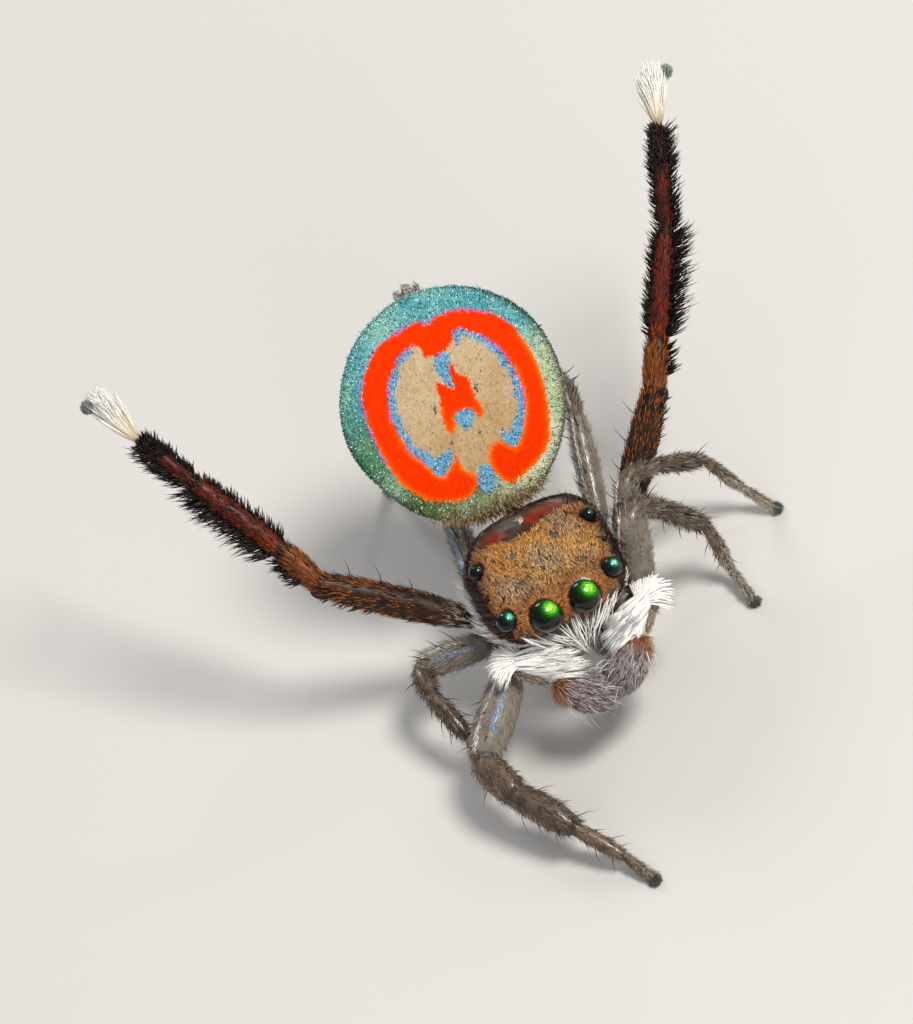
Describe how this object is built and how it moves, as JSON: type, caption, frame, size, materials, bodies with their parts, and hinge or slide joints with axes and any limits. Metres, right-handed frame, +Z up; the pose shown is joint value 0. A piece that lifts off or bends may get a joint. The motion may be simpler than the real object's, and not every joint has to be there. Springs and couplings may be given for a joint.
{
  "type": "peacock spider",
  "caption": "Male peacock spider in courtship display: round patterned fan raised behind the head, the third pair of legs lifted with bristle brushes and white tips, the rest standing.",
  "frame": {"origin": "centre of the base of the model's box, on the floor", "axes": "+Z up, the spider faces -Y and its own left is +X"},
  "size_m": [0.0078, 0.0076, 0.0044],
  "materials": {
    "carapace_shell": "hard dark brown cuticle under short orange-tan scales",
    "eye_lens": "polished green-black lens",
    "fan_scales": "flat iridescent scales in red, blue-green and tan",
    "abdomen_skin": "soft skin under short brown-grey hair",
    "white_hair": "dense bright white hair",
    "palp_bulb": "brown-purple cuticle with grey-white hair",
    "display_leg": "dark red-brown cuticle with black bristles",
    "walking_leg": "translucent grey-brown cuticle with grey hair"
  },
  "bodies": {
    "root": {"abdomen": "abdomen_skin", "abdomen_fan": "fan_scales", "carapace": "carapace_shell", "chelicera_left": "carapace_shell", "chelicera_right": "carapace_shell", "eye_front_middle_left": "eye_lens", "eye_front_middle_right": "eye_lens", "eye_front_outer_left": "eye_lens", "eye_front_outer_right": "eye_lens", "eye_rear_left": "eye_lens", "eye_rear_right": "eye_lens", "eye_small_left": "eye_lens", "eye_small_right": "eye_lens", "leg_1_left_femur": "walking_leg", "leg_1_left_foot": "walking_leg", "leg_1_left_tibia": "walking_leg", "leg_1_right_femur": "walking_leg", "leg_1_right_foot": "walking_leg", "leg_1_right_tibia": "walking_leg", "leg_2_left_femur": "walking_leg", "leg_2_left_foot": "walking_leg", "leg_2_left_tibia": "walking_leg", "leg_2_right_femur": "walking_leg", "leg_2_right_foot": "walking_leg", "leg_2_right_tibia": "walking_leg", "leg_3_left_femur": "display_leg", "leg_3_left_metatarsus": "display_leg", "leg_3_left_patella": "display_leg", "leg_3_left_tarsus": "white_hair", "leg_3_left_tibia": "display_leg", "leg_3_right_femur": "display_leg", "leg_3_right_metatarsus": "display_leg", "leg_3_right_patella": "display_leg", "leg_3_right_tarsus": "white_hair", "leg_3_right_tibia": "display_leg", "leg_4_left_femur": "walking_leg", "leg_4_left_foot": "walking_leg", "leg_4_left_tibia": "walking_leg", "leg_4_right_femur": "walking_leg", "leg_4_right_foot": "walking_leg", "leg_4_right_tibia": "walking_leg", "palp_left_arm": "white_hair", "palp_left_bulb": "palp_bulb", "palp_right_arm": "white_hair", "palp_right_bulb": "palp_bulb", "pedicel": "abdomen_skin", "spinnerets": "abdomen_skin", "sternum": "carapace_shell"}
  },
  "joints": []
}
